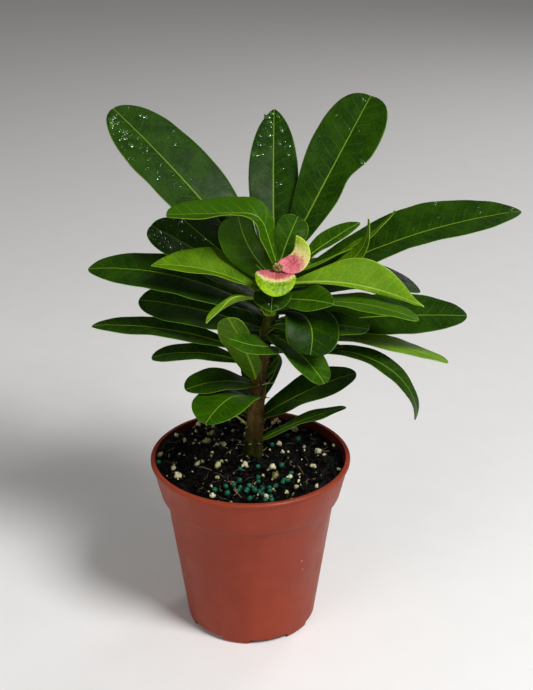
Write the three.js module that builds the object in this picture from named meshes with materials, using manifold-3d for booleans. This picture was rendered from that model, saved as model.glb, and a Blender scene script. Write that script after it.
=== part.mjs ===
// A young large-leaved crown-of-thorns plant in a round plastic nursery pot.
// Millimetres, +Z up. The origin is the centre of the pot's underside and the front of the plant is -Y.
import * as THREE from "three";
import { mergeVertices } from "three/addons/utils/BufferGeometryUtils.js";
import Module from "manifold-3d";

const wasm = await Module();
wasm.setup();

// Pot
const potHeight = 101;
const rimRadius = 55;
const lipHeight = 2.2;
const lipOverhang = 0.8;
const bandHeight = 21;
const bandFootRadius = 49.9;
const bodyTopRadius = 46.4;
const baseRadius = 36.3;
const wall = 1.6;
const footHeight = 3;
const floorThickness = 2;
const footRingWidth = 3;
const centrePadRadius = 9;
const notchCount = 6;
const notchWidth = 22;
const firstNotchTurn = -74;
const drainHoleRadius = 3.5;
const drainHoleCircle = 24;
const potSegments = 40;

// Soil
const soilLevel = 98;
const soilFall = 0.02;
const soilRoughness = 0.7;
const perliteCount = 24;
const beadCount = 18;
const beadRadius = 1.75;
const perliteRadius = 2.2;
const riseShare = 0.15;
const stemRoom = 9;
const wallRoom = 4;
const scatterSquash = 0.93;
const soilRings = 5;
const soilSegments = 28;

// Stem
const stemFoot = 62;
const stemLeanStart = 95;
const stemTop = 214;
const stemBaseRadius = 5.6;
const stemTopRadius = 2.5;
const stemSegments = 10;
const stemRings = 22;
const spineCount = 30;
const spineLength = 4.5;
const spineRadius = 0.7;
const spineTop = 138;
const spineRoom = 7;
const spineTurnRoom = 50;
const clearance = 0.3;

// Flower head: the cup, its stalk and the two bracts that stand on it
const cupCentre = [14.4, -8, 212.5];
const cupRadius = 2.6;
const cupHeight = 4;
const glandRadius = 1.1;
const glandCount = 5;
const glandPlace = 0.7;
const firstGlandTurn = 0.2;
const stalkFoot = 206;
const stalkRadius = 1.3;

// Leaf blades
const marginThickness = 0.6;
const ribThickness = 1.1;
const petioleThickness = 1.7;
const petioleWidth = 2.4;
const petioleShare = 0.06;
const ringSpacing = 12;
const fewestRings = 4;
const mostRings = 9;
const bladeColumns = 4;
const ribSteps = 40;
const rightMarginPhase = 1.8;

const colours = {
  mature: "#1f4a10",
  middle: "#2f6414",
  young: "#5c8d1c",
  pale: "#86a83a",
};

// One row a leaf: height on the stem, turn round it (degrees from +X, 270 is the front), rise at the
// foot, droop added by the tip, length and width. Where they differ from the defaults: bend (how late
// the droop comes), sway (turn added by the tip), roll about the rib and twist added by the tip, fold
// of the two halves, wave and waves of the margin, where it is widest, how blunt the tip is, lobe at
// the foot and tone. A crest gives the shares of the length between which the droop and twist come. A
// nick gives the half that is drawn in, the middle of that, its spread and its depth.
const leafDefaults = {
  bend: 1, sway: 0, roll: 0, twist: 0, fold: 12, wave: 0.8, waves: 2, phase: 0,
  widest: 0.62, blunt: 0.55, lobe: 0, crest: [], nick: [0, 0, 1, 0], tone: "mature",
};
const leaves = {
  back_left: {
    height: 197, turn: 152, rise: 48.5, droop: 13, length: 129, width: 44, roll: -18,
    widest: 0.65, blunt: 0.5,
  },
  back_middle: {
    height: 201.5, turn: 92, rise: 56, droop: 12, length: 100, width: 27, sway: -5,
    widest: 0.58, blunt: 0.7,
  },
  back_right: {
    height: 204.5, turn: 40, rise: 54, droop: 12, length: 112, width: 36, sway: 12, roll: 16,
    widest: 0.74, blunt: 0.4, nick: [-1, 0.56, 0.09, 0.25],
  },
  arched_left: {
    height: 209, turn: 184, rise: 74, droop: 74, crest: [0.28, 0.52], length: 78, width: 32,
    roll: -35, twist: 33, fold: 22, widest: 0.6, blunt: 0.4, nick: [-1, 0.12, 0.3, 0.7],
    tone: "young",
  },
  upper_left_inner: {
    height: 204, turn: 181, rise: 40, droop: -42, length: 41, width: 26, roll: -85, fold: 8,
    widest: 0.7, blunt: 0.35, nick: [-1, 0.65, 0.5, 0.5], tone: "middle",
  },
  upper_right_inner: {
    height: 208.6, turn: 40, rise: 68, droop: 12, length: 30, width: 18, roll: 28, widest: 0.75,
    blunt: 0.4, tone: "middle",
  },
  canoe_left: {
    height: 192.1, turn: 196, rise: 40, droop: 36, length: 70, width: 29, roll: -16, fold: 34,
    widest: 0.5, blunt: 1, nick: [1, 0.1, 0.15, 0.7], tone: "young",
  },
  left_wet: {
    height: 189, turn: 160, rise: 36, droop: 16, length: 77, width: 33, roll: -16, widest: 0.68,
    blunt: 0.4,
  },
  left_long: {
    height: 183, turn: 176, rise: 33, droop: 38, length: 100, width: 38, roll: -16,
    widest: 0.55, blunt: 0.65, nick: [-1, 0.5, 0.5, 0.2],
  },
  left_under: { height: 174, turn: 169, rise: 18, droop: 16, length: 71, width: 32, roll: -20 },
  curled_left: {
    height: 190.8, turn: 217, rise: 33, droop: 70, length: 45, width: 11, roll: 20, fold: 40,
    widest: 0.7, blunt: 0.8, tone: "pale",
  },
  left_narrow: {
    height: 157.4, turn: 178, rise: 26, droop: 30, length: 94, width: 17, roll: -16, blunt: 0.7,
  },
  left_low: {
    height: 150, turn: 177, rise: 29, droop: 46, length: 61, width: 16, roll: -14, widest: 0.7,
  },
  low_left_back: { height: 139.8, turn: 207, rise: 30, droop: 40, length: 45, width: 24, roll: -8 },
  low_left_front: {
    height: 129.2, turn: 240, rise: 49, droop: 74, length: 58, width: 32, widest: 0.67,
    tone: "middle",
  },
  rising_front: {
    height: 139.5, turn: 246, rise: 65, droop: 8, length: 58, width: 24, sway: -18, roll: 26,
    fold: 16, widest: 0.67, blunt: 0.5, nick: [1, 0.6, 0.4, 0.55], tone: "young",
  },
  front_left_small: {
    height: 164.5, turn: 300, rise: 22, droop: 0, length: 46, width: 17, sway: -126, roll: -25,
    widest: 0.6, blunt: 0.6, tone: "middle",
  },
  front_cup: {
    height: 197.7, turn: 266, rise: 12, droop: 32, length: 26, width: 20, widest: 0.55,
    blunt: 0.65,
  },
  front_pale: {
    height: 189.2, turn: 258, rise: 8, droop: 30, length: 12, width: 9, roll: -30, tone: "pale",
  },
  front_right_round: {
    height: 181, turn: 350, rise: 39, droop: 95, length: 50, width: 28, sway: -100,
    widest: 0.74, blunt: 0.35, tone: "mature",
  },
  front_right_olive: {
    height: 191.4, turn: 317, rise: 20.3, droop: 16, length: 43, width: 19, roll: 24,
    blunt: 0.8, tone: "middle",
  },
  right_small: {
    height: 177, turn: 336, rise: 14, droop: 14, length: 57, width: 20, roll: 12, blunt: 0.35,
    tone: "middle",
  },
  right_long: { height: 174, turn: 354, rise: 13.5, droop: 14, length: 106, width: 29, roll: 26 },
  right_arched: {
    height: 183.5, turn: 333, rise: 30, droop: 44, length: 86, width: 21, tone: "middle",
  },
  right_pale: {
    height: 200, turn: 338, rise: 19.5, droop: 39, length: 82, width: 28, roll: 44, twist: 30,
    fold: 10, widest: 0.58, blunt: 1.8, nick: [-1, 0.5, 0.8, 0.85], tone: "pale",
  },
  right_curled: {
    height: 198.6, turn: 354, rise: 12, droop: -92, bend: 2.2, length: 70, width: 12, roll: 16,
    twist: 20, widest: 0.5, blunt: 1.2, tone: "young",
  },
  right_sprout: {
    height: 205.0, turn: 5, rise: 16, droop: -40, bend: 2, length: 72, width: 5.5,
    tone: "young",
  },
  upper_right_narrow: {
    height: 200.3, turn: 32, rise: 32, droop: 16, length: 60, width: 15, roll: 14, widest: 0.72,
    blunt: 0.75, nick: [-1, 0.7, 0.5, 0.55], tone: "middle",
  },
  far_right: {
    height: 189.8, turn: 6, rise: 33, droop: 28, length: 141, width: 40, roll: 17, fold: 14,
    widest: 0.6, blunt: 0.75, nick: [-1, 0.62, 0.22, 0.42],
  },
  right_shaded: { height: 188.3, turn: 21, rise: 25, droop: 55, length: 92, width: 28, roll: 16 },
  right_low_narrow: {
    height: 168, turn: 350, rise: 12.5, droop: 32, length: 99, width: 17, tone: "young",
  },
  right_drooping: {
    height: 160, turn: 342, rise: 14, droop: 110, bend: 2.3, length: 104, width: 15, roll: 6,
  },
  front_right_low: {
    height: 172.7, turn: 311, rise: 4, droop: 44, length: 48, width: 21, blunt: 0.4,
    tone: "middle",
  },
  low_right_dark: { height: 118, turn: 8, rise: 35, droop: 22, length: 62, width: 27, roll: 10 },
  low_right_narrow: {
    height: 103, turn: 10, rise: 29, droop: 20, length: 56, width: 11, tone: "middle",
  },
  stem_side_small: { height: 143, turn: 354, rise: 60, droop: 10, length: 18, width: 9, roll: 40 },
  stem_side_dark: { height: 126, turn: 20, rise: 72, droop: 4, length: 34, width: 14 },
  right_brown_tip: {
    height: 166, turn: 343, rise: 11, droop: 14, length: 43, width: 10, tone: "middle",
  },
  back_low_left: { height: 172, turn: 128, rise: 22, droop: 30, length: 88, width: 30 },
  back_low_right: { height: 179, turn: 62, rise: 20, droop: 30, length: 86, width: 30 },
  back_centre: { height: 162, turn: 95, rise: 16, droop: 34, length: 82, width: 29 },
  back_foot_left: { height: 118, turn: 120, rise: 8, droop: 10, length: 50, width: 25 },
  back_foot_right: { height: 127, turn: 85, rise: 24, droop: 34, length: 60, width: 24 },
};

// The two bracts, as leaves that start at the cup.
const bracts = {
  front: {
    offset: [-1.2, -2.4, -1.2], turn: 270, rise: 8, droop: 70, length: 16.6, width: 21.5,
    roll: -6, fold: 0, wave: 0, widest: 0.5, blunt: 0.5, lobe: 0.45,
  },
  rear: {
    offset: [0.6, 0.5, 2.2], turn: 20, rise: -5, droop: -125, length: 22, width: 17,
    roll: 40, fold: 0, wave: 0, widest: 0.45, blunt: 1, lobe: 0.05, nick: [1, 0.55, 0.5, 0.7],
  },
};

// Middle line of the stem: it leans to +X, more so toward the top, and a little forward.
function stemAxis(z) {
  const rise = z - stemLeanStart;
  return new THREE.Vector3(1.2 + 0.05 * rise + 0.0006 * rise ** 2, 8 - 0.06 * rise, z);
}

function stemRadius(z) {
  const share = THREE.MathUtils.clamp((z - stemLeanStart) / (stemTop - stemLeanStart), 0, 1);
  const taper = THREE.MathUtils.lerp(stemBaseRadius, stemTopRadius, share ** 0.7);
  const buried = THREE.MathUtils.clamp((stemLeanStart - z) / (stemLeanStart - stemFoot), 0, 1);
  return taper * (1 - 0.35 * buried);
}

function toManifold(geometry) {
  const bare = geometry.clone();
  bare.deleteAttribute("normal");
  bare.deleteAttribute("uv");
  const merged = mergeVertices(bare, 1e-4);
  return new wasm.Manifold(new wasm.Mesh({
    numProp: 3,
    vertProperties: new Float32Array(merged.attributes.position.array),
    triVerts: new Uint32Array(merged.index.array),
  }));
}

function toGeometry(manifold) {
  const mesh = manifold.getMesh();
  const geometry = new THREE.BufferGeometry();
  geometry.setAttribute("position", new THREE.BufferAttribute(new Float32Array(mesh.vertProperties), 3));
  geometry.setIndex(new THREE.BufferAttribute(new Uint32Array(mesh.triVerts), 1));
  geometry.computeVertexNormals();
  return geometry;
}

const plant = new THREE.Group();

function addPart(name, geometry, colour, roughness) {
  const material = new THREE.MeshStandardMaterial({ color: colour, roughness, metalness: 0 });
  const mesh = new THREE.Mesh(geometry, material);
  mesh.name = name;
  plant.add(mesh);
}

// A solid of revolution about Z from [radius, height] points that start and end on the axis.
function turned(profile, segments) {
  const points = profile.map(([radius, height]) => new THREE.Vector2(radius, height));
  return new THREE.LatheGeometry(points, segments).rotateX(Math.PI / 2);
}

// The pot's inside, open at the top, drawn in by a gap on every side.
function potCavity(gap) {
  const bandFoot = potHeight - bandHeight;
  const floorTop = footHeight + floorThickness;
  return toManifold(turned([
    [0, floorTop + gap],
    [baseRadius - wall - 2 - gap, floorTop + gap],
    [baseRadius - wall - gap, floorTop + 2.5 + gap],
    [bodyTopRadius - wall - gap, bandFoot - 4],
    [bandFootRadius - wall - gap, bandFoot + 1.2],
    [rimRadius - lipOverhang - wall - gap, potHeight],
    [rimRadius - lipOverhang - wall - gap, potHeight + 5],
    [0, potHeight + 5],
  ], potSegments));
}

function potSolid() {
  const bandFoot = potHeight - bandHeight;
  const underLip = potHeight - lipHeight;
  const floorTop = footHeight + floorThickness;
  const body = toManifold(turned([
    [0, 0],
    [centrePadRadius, 0],
    [centrePadRadius, footHeight],
    [baseRadius - footRingWidth, footHeight],
    [baseRadius - footRingWidth, 0],
    [baseRadius - 1.7, 0],
    [baseRadius - 0.5, 0.7],
    [baseRadius, 2.2],
    [bodyTopRadius, bandFoot - 4.5],
    [bodyTopRadius + 1.4, bandFoot - 1.6],
    [bandFootRadius - 0.5, bandFoot - 0.3],
    [bandFootRadius, bandFoot + 0.8],
    [rimRadius - lipOverhang, underLip],
    [rimRadius, underLip + 0.5],
    [rimRadius, potHeight - 0.6],
    [rimRadius - 0.6, potHeight],
    [0, potHeight],
  ], potSegments));
  let pot = body.subtract(potCavity(0));
  for (let i = 0; i < notchCount; i += 1) {
    const turn = THREE.MathUtils.degToRad(firstNotchTurn + (i * 360) / notchCount);
    const notch = new THREE.BoxGeometry(12, notchWidth, 2 * footHeight);
    notch.translate(baseRadius - 1, 0, 0).rotateZ(turn);
    pot = pot.subtract(toManifold(notch));
    const hole = new THREE.CylinderGeometry(drainHoleRadius, drainHoleRadius, 3 * floorTop, 12);
    hole.rotateX(Math.PI / 2).translate(drainHoleCircle, 0, 0).rotateZ(turn);
    pot = pot.subtract(toManifold(hole));
  }
  return pot;
}

// A height on the soil: bumps and a slight fall toward +X.
function soilHeight(x, y) {
  const bumps = Math.sin(0.31 * x + 1) * Math.cos(0.27 * y) + Math.sin(0.17 * x - 0.23 * y + 2);
  return soilLevel + soilRoughness * bumps - soilFall * x;
}

function stemBlank(grow) {
  const profile = [[0, stemFoot - grow]];
  for (let i = 0; i <= stemRings; i += 1) {
    const z = THREE.MathUtils.lerp(stemFoot - grow, stemTop + grow, i / stemRings);
    profile.push([stemRadius(z) + grow, z]);
  }
  profile.push([0, stemTop + grow]);
  const blank = turned(profile, stemSegments);
  const position = blank.attributes.position;
  for (let i = 0; i < position.count; i += 1) {
    const axis = stemAxis(position.getZ(i));
    position.setX(i, position.getX(i) + axis.x);
    position.setY(i, position.getY(i) + axis.y);
  }
  return toManifold(blank);
}

// Outline of a leaf: half the width at a share t of the length, narrow at the petiole.
function halfWidth(leaf, share, u) {
  const t = THREE.MathUtils.clamp(share, 0, 1);
  const tip = leaf.blunt;
  const foot = (tip * leaf.widest) / (1 - leaf.widest);
  let blade = (t / leaf.widest) ** foot * ((1 - t) / (1 - leaf.widest)) ** tip;
  const [side, centre, spread, depth] = leaf.nick;
  if (u * side > 0) {
    blade *= 1 - depth * Math.exp(-(((t - centre) / spread) ** 2));
  }
  return Math.max((leaf.width / 2) * blade, (petioleWidth / 2) * Math.min(1, (1 - t) * 20));
}

// The leaf's middle surface: t runs along the rib, u from the right margin (-1) to the left (1).
function leafSurface(leaf) {
  const rib = [leaf.foot ? new THREE.Vector3(...leaf.foot) : stemAxis(leaf.height)];
  const degrees = Math.PI / 180;
  const heading = t => {
    const crest = THREE.MathUtils.smoothstep(t, ...leaf.crest);
    const bent = leaf.crest.length > 0 ? crest : Math.max(t, 0) ** leaf.bend;
    const turned = leaf.crest.length > 0 ? crest : t;
    return {
      rise: (leaf.rise - leaf.droop * bent) * degrees,
      turn: (leaf.turn + leaf.sway * t) * degrees,
      roll: (leaf.roll + leaf.twist * turned) * degrees,
    };
  };
  for (let i = 0; i < ribSteps; i += 1) {
    const { rise, turn } = heading((i + 0.5) / ribSteps);
    const step = new THREE.Vector3(
      Math.cos(rise) * Math.cos(turn), Math.cos(rise) * Math.sin(turn), Math.sin(rise));
    rib.push(rib[i].clone().addScaledVector(step, leaf.length / ribSteps));
  }
  return (t, u) => {
    const place = (t - leaf.lobe * Math.abs(u) ** 1.5 * (1 - t)) * ribSteps;
    const i = THREE.MathUtils.clamp(Math.floor(place), 0, ribSteps - 1);
    const point = rib[i].clone().lerp(rib[i + 1], place - i);
    const { rise, turn, roll } = heading(t);
    const side = new THREE.Vector3(-Math.sin(turn), Math.cos(turn), 0);
    const over = new THREE.Vector3(
      -Math.sin(rise) * Math.cos(turn), -Math.sin(rise) * Math.sin(turn), Math.cos(rise));
    const across = side.clone().multiplyScalar(Math.cos(roll)).addScaledVector(over, Math.sin(roll));
    const normal = over.clone().multiplyScalar(Math.cos(roll)).addScaledVector(side, -Math.sin(roll));
    const fold = leaf.fold * (1 - 0.5 * t) * degrees;
    const half = halfWidth(leaf, t, u);
    const ripple = Math.sin(2 * Math.PI * leaf.waves * t + leaf.phase + (u > 0 ? 0 : rightMarginPhase));
    const lift = half * Math.abs(u) * Math.sin(fold) + leaf.wave * ripple * u * u * Math.sin(Math.PI * t);
    return point.addScaledVector(across, half * u * Math.cos(fold)).addScaledVector(normal, lift);
  };
}

// Closed blade: the middle surface pushed out both ways, with the same diagonals on both faces.
function leafGeometry(leaf) {
  const surface = leafSurface(leaf);
  const positions = [];
  const index = [];
  const across = bladeColumns + 1;
  const wantedRings = Math.round(leaf.length / ringSpacing) + 2;
  const bladeRings = THREE.MathUtils.clamp(wantedRings, fewestRings, mostRings);
  for (const face of [1, -1]) {
    for (let i = 0; i <= bladeRings; i += 1) {
      const t = 1 - (1 - (0.985 * i) / bladeRings) ** 1.5;
      for (let j = 0; j <= bladeColumns; j += 1) {
        const u = (2 * j) / bladeColumns - 1;
        const along = surface(t + 0.004, u).sub(surface(t - 0.004, u));
        const sideways = surface(t, u + 0.02).sub(surface(t, u - 0.02));
        const normal = along.cross(sideways).normalize();
        const foot = Math.max(0, 1 - t / petioleShare);
        const middle = THREE.MathUtils.lerp(ribThickness, petioleThickness, foot);
        const edge = THREE.MathUtils.lerp(marginThickness, petioleThickness * 0.7, foot);
        const thickness = THREE.MathUtils.lerp(middle, edge, Math.abs(u));
        positions.push(...surface(t, u).addScaledVector(normal, (face * thickness) / 2).toArray());
      }
    }
  }
  const bottom = (bladeRings + 1) * across;
  for (let i = 0; i < bladeRings; i += 1) {
    for (let j = 0; j < bladeColumns; j += 1) {
      const a = i * across + j;
      const [b, c, d] = [a + 1, a + across, a + across + 1];
      index.push(a, c, b, b, c, d);
      index.push(a + bottom, b + bottom, c + bottom, b + bottom, d + bottom, c + bottom);
    }
  }
  const wallStrip = (a, b) => index.push(a, b, a + bottom, b, b + bottom, a + bottom);
  for (let i = 0; i < bladeRings; i += 1) {
    wallStrip((i + 1) * across, i * across);
    wallStrip(i * across + bladeColumns, (i + 1) * across + bladeColumns);
  }
  for (let j = 0; j < bladeColumns; j += 1) {
    wallStrip(j, j + 1);
    wallStrip(bladeRings * across + j + 1, bladeRings * across + j);
  }
  const geometry = new THREE.BufferGeometry();
  geometry.setAttribute("position", new THREE.BufferAttribute(new Float32Array(positions), 3));
  geometry.setIndex(index);
  return geometry;
}

// Small seeded random generator, so that the repeats fall in the same places each time.
function randomFrom(seed) {
  let state = seed;
  return () => {
    state = (state * 16807) % 2147483647;
    return state / 2147483647;
  };
}

// Soil: a body that fills the pot with a bumpy top, perlite lumps and fertiliser beads set in it.
function soilSolid() {
  const profile = [[0, footHeight], [rimRadius, footHeight]];
  for (let i = 0; i <= soilRings; i += 1) profile.push([rimRadius * (1 - i / soilRings), soilLevel]);
  const blank = turned(profile, soilSegments);
  const position = blank.attributes.position;
  for (let i = 0; i < position.count; i += 1) {
    if (position.getZ(i) > soilLevel - 1) {
      position.setZ(i, soilHeight(position.getX(i), position.getY(i)));
    }
  }
  let soil = toManifold(blank);
  const random = randomFrom(7);
  const place = (size, squash, geometry) => {
    const turn = 2 * Math.PI * random();
    const reach = stemRoom + (bandFootRadius - stemRoom - wallRoom) * Math.sqrt(random());
    const axis = stemAxis(soilLevel);
    const x = axis.x + reach * Math.cos(turn) * scatterSquash;
    const y = axis.y * 0.4 + reach * Math.sin(turn) * scatterSquash;
    geometry.scale(size, size * (0.8 + 0.3 * random()), size * squash).rotateZ(6 * random());
    geometry.translate(x, y, soilHeight(x, y) + size * squash * riseShare);
    soil = soil.add(toManifold(geometry));
  };
  for (let i = 0; i < perliteCount; i += 1) {
    place(perliteRadius * (0.6 + 0.6 * random()), 0.75, new THREE.IcosahedronGeometry(1, 0));
  }
  for (let i = 0; i < beadCount; i += 1) place(beadRadius, 1, new THREE.IcosahedronGeometry(1, 0));
  return soil.intersect(potCavity(clearance)).subtract(stemBlank(clearance));
}

// Whether a leaf starts from the stem close to this height and turn.
function nearLeaf(z, turn) {
  return Object.values(leaves).some(leaf => {
    const apart = Math.abs(((((turn - leaf.turn) % 360) + 540) % 360) - 180);
    return Math.abs(z - leaf.height) < spineRoom && apart < spineTurnRoom;
  });
}

// Stem with its spines on the barer part, in a spiral, roots sunk in.
function stemSolid() {
  let stem = stemBlank(0);
  const random = randomFrom(21);
  for (let i = 0; i < spineCount; i += 1) {
    const z = THREE.MathUtils.lerp(soilLevel + 6, spineTop, (i + 0.5 * random()) / spineCount);
    const turn = 137.5 * i;
    const length = spineLength * (0.7 + 0.5 * random());
    if (nearLeaf(z, turn)) continue;
    const spine = new THREE.ConeGeometry(spineRadius, length + 1.2, 3);
    spine.translate(0, length / 2 - 0.6, 0).rotateZ(-Math.PI / 2 + 0.25);
    spine.translate(stemRadius(z), 0, 0).rotateZ(THREE.MathUtils.degToRad(turn));
    const axis = stemAxis(z);
    stem = stem.add(toManifold(spine.translate(axis.x, axis.y, z)));
  }
  return stem;
}

// Room that the bracts leave round the cup.
function clearCup() {
  const radius = glandPlace * cupRadius + glandRadius + clearance;
  const room = new THREE.CylinderGeometry(radius, radius, cupHeight + 3 * glandRadius, 12);
  return toManifold(room.rotateX(Math.PI / 2).translate(...cupCentre));
}

// Cup of the flower head on its stalk, with a ring of glands.
function cupSolid() {
  const centre = new THREE.Vector3(...cupCentre);
  const foot = stemAxis(stalkFoot);
  const route = new THREE.CatmullRomCurve3([
    foot, new THREE.Vector3(foot.x, (foot.y + centre.y) / 2 - 2, (foot.z + centre.z) / 2 - 1), centre,
  ]);
  const section = new THREE.Shape();
  section.absarc(0, 0, stalkRadius, 0, 2 * Math.PI);
  const stalk = new THREE.ExtrudeGeometry(section, {
    extrudePath: route, steps: 5, curveSegments: 4, bevelEnabled: false,
  });
  const cup = new THREE.CylinderGeometry(cupRadius, stalkRadius * 1.2, cupHeight, 10);
  cup.rotateX(Math.PI / 2).translate(...cupCentre);
  let head = toManifold(stalk).add(toManifold(cup));
  for (let i = 0; i < glandCount; i += 1) {
    const turn = (2 * Math.PI * i) / glandCount;
    const gland = new THREE.IcosahedronGeometry(glandRadius, 0);
    gland.translate(glandPlace * cupRadius, 0, 0.45 * cupHeight).rotateZ(turn + firstGlandTurn);
    gland.translate(...cupCentre);
    head = head.add(toManifold(gland));
  }
  return head.subtract(stemBlank(clearance));
}

const clearStem = stemBlank(clearance);

addPart("pot", toGeometry(potSolid()), "#96452f", 0.45);
addPart("soil", toGeometry(soilSolid()), "#1c1712", 0.95);
addPart("stem", toGeometry(stemSolid()), "#5d5a2c", 0.8);
addPart("flower_cup", toGeometry(cupSolid()), "#7c6a2a", 0.6);
for (const [name, values] of Object.entries(bracts)) {
  const foot = values.offset.map((step, i) => cupCentre[i] + step);
  const solid = toManifold(leafGeometry({ ...leafDefaults, ...values, foot })).subtract(clearCup());
  addPart(`bract_${name}`, toGeometry(solid), "#c9a05a", 0.5);
}
for (const [name, values] of Object.entries(leaves)) {
  const leaf = { ...leafDefaults, ...values };
  const solid = toManifold(leafGeometry(leaf)).subtract(clearStem);
  addPart(`leaf_${name}`, toGeometry(solid), colours[leaf.tone], 0.35);
}

export default plant;
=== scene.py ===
"""A young large-leaved euphorbia in a terracotta-coloured nursery pot, dressed for looks."""
import math
import random

import bmesh
import bpy
from mathutils import Euler, Matrix, Vector, noise


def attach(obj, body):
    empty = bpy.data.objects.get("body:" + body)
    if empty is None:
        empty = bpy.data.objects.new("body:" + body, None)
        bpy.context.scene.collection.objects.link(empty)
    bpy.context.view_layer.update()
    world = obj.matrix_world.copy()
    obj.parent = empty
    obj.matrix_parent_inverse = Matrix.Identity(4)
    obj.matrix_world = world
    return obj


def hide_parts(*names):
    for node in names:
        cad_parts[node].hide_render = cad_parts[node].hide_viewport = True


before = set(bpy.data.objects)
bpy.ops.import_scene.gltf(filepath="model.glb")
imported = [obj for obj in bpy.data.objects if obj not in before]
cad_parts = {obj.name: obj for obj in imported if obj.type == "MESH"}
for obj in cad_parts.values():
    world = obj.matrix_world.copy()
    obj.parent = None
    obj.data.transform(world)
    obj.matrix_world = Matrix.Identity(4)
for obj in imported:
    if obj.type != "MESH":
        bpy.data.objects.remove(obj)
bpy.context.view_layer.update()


# Nursery pot: one thin injection-moulded body in terracotta polypropylene, with a rolled lip, a
# tapered rim band and a tapered wall. The floor has six drain holes and the foot ring six notches.
# All pieces are shaped in millimetres and made metres at the end.
POT_PROFILE = [
    (0, 0), (9, 0), (9, 3), (33.3, 3), (33.3, 0), (34.6, 0), (35.8, 0.7), (36.3, 2.2), (46.4, 75.5),
    (47.8, 78.4), (49.4, 79.7), (49.9, 80.8), (54.2, 98.8), (55, 99.3), (55, 100.4), (54.4, 101),
    (52.6, 101), (48.3, 81.2), (44.8, 76), (34.7, 7.5), (32.7, 5), (0, 5),
]
POT_ROUNDING = 0.3
DRAINS = 6
FIRST_DRAIN_TURN = -74
NOTCH_SIZE = (12, 22, 6)
NOTCH_CIRCLE = 35.3
HOLE_RADIUS = 3.5
HOLE_CIRCLE = 24
# Above this height the inward faces and the floor's top take the darker plastic: painted shade.
PAINTED_SHADE_FROM = 4.5
FLOOR_TOP_BELOW = 20


def turned_body(outline, steps):
    """A body of revolution about Z from (radius, height) points, closed at the axis."""
    bm = bmesh.new()
    points = [bm.verts.new((radius, 0, height)) for radius, height in outline]
    for first, second in zip(points, points[1:]):
        bm.edges.new((first, second))
    bmesh.ops.spin(bm, geom=bm.verts[:] + bm.edges[:], cent=(0, 0, 0), axis=(0, 0, 1),
                   angle=math.tau, steps=steps, use_merge=True)
    bmesh.ops.remove_doubles(bm, verts=bm.verts, dist=1e-4)
    bmesh.ops.recalc_face_normals(bm, faces=bm.faces)
    return bm


def finished_piece(name, bm, materials, replaced=()):
    """The mesh, from millimetres, as a smooth object that rides with the plant."""
    bmesh.ops.scale(bm, vec=(0.001, 0.001, 0.001), verts=bm.verts)
    mesh = bpy.data.meshes.new(name)
    bm.to_mesh(mesh)
    bm.free()
    mesh.shade_smooth()
    for material in materials:
        mesh.materials.append(material)
    piece = bpy.data.objects.new(name, mesh)
    bpy.context.collection.objects.link(piece)
    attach(piece, "root")
    if replaced:
        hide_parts(*replaced)
    return piece


def cut_away(piece, cutter):
    """Takes the cutter's shape out of the piece for good, and removes the cutter."""
    cut = piece.modifiers.new("cut", "BOOLEAN")
    cut.object = cutter
    cut.solver = "EXACT"
    graph = bpy.context.evaluated_depsgraph_get()
    piece.data = bpy.data.meshes.new_from_object(piece.evaluated_get(graph))
    piece.modifiers.clear()
    bpy.data.objects.remove(cutter)


def paint(code):
    """A colour from its six-digit code, linear as the shader wants it."""
    parts = [int(code[i:i + 2], 16) / 255 for i in (1, 3, 5)]
    return [p / 12.92 if p <= 0.04045 else ((p + 0.055) / 1.055) ** 2.4 for p in parts] + [1]


def add_node(tree, kind, inputs=(), **settings):
    """A node with its settings, and values or links on its inputs by name or number."""
    made = tree.nodes.new("ShaderNode" + kind)
    for setting, value in settings.items():
        setattr(made, setting, value)
    for socket, value in dict(inputs).items():
        if isinstance(value, bpy.types.NodeSocket):
            tree.links.new(value, made.inputs[socket])
        else:
            made.inputs[socket].default_value = value
    return made


def maths(tree, operation, first, second=0.0):
    return add_node(tree, "Math", {0: first, 1: second}, operation=operation).outputs[0]


def eased(tree, value, low, high, start=0.0, end=1.0):
    """A value's place between two limits, eased, from start to end."""
    limits = {0: value, 1: low, 2: high, 3: start, 4: end}
    return add_node(tree, "MapRange", limits, interpolation_type="SMOOTHSTEP").outputs[0]


def mixed(tree, share, first, second):
    """Two colours blended by a share."""
    inputs = {0: share, 6: first, 7: second}
    return add_node(tree, "Mix", inputs, data_type="RGBA").outputs[2]


def cloud(tree, vector, scale, detail=3.0, roughness=0.55):
    """Noise from 0 to 1, with its scale in patches a metre."""
    inputs = {"Vector": vector, "Scale": scale, "Detail": detail, "Roughness": roughness}
    return add_node(tree, "TexNoise", inputs).outputs[0]


def own_place(tree):
    return add_node(tree, "TexCoord").outputs["Object"]


def bumped(tree, height, strength, distance):
    inputs = {"Height": height, "Strength": strength, "Distance": distance}
    return add_node(tree, "Bump", inputs).outputs[0]


def new_material(name, **values):
    """A material with its Principled shader, and values on the shader's own sockets."""
    material = bpy.data.materials.new(name)
    material.use_nodes = True
    shader = material.node_tree.nodes["Principled BSDF"]
    for socket, value in values.items():
        shader.inputs[socket.replace("_", " ")].default_value = value
    return material, material.node_tree, shader.inputs


def new_group(name, inputs, outputs):
    """An empty node group with named sockets, and its inside ends."""
    group = bpy.data.node_groups.new(name, "ShaderNodeTree")
    for side, sockets in (("INPUT", inputs), ("OUTPUT", outputs)):
        for socket, kind in sockets.items():
            group.interface.new_socket(socket, in_out=side, socket_type="NodeSocket" + kind)
    return group, group.nodes.new("NodeGroupInput").outputs, group.nodes.new("NodeGroupOutput").inputs


def use_group(tree, group, inputs):
    return add_node(tree, "Group", inputs, node_tree=group).outputs


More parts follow.
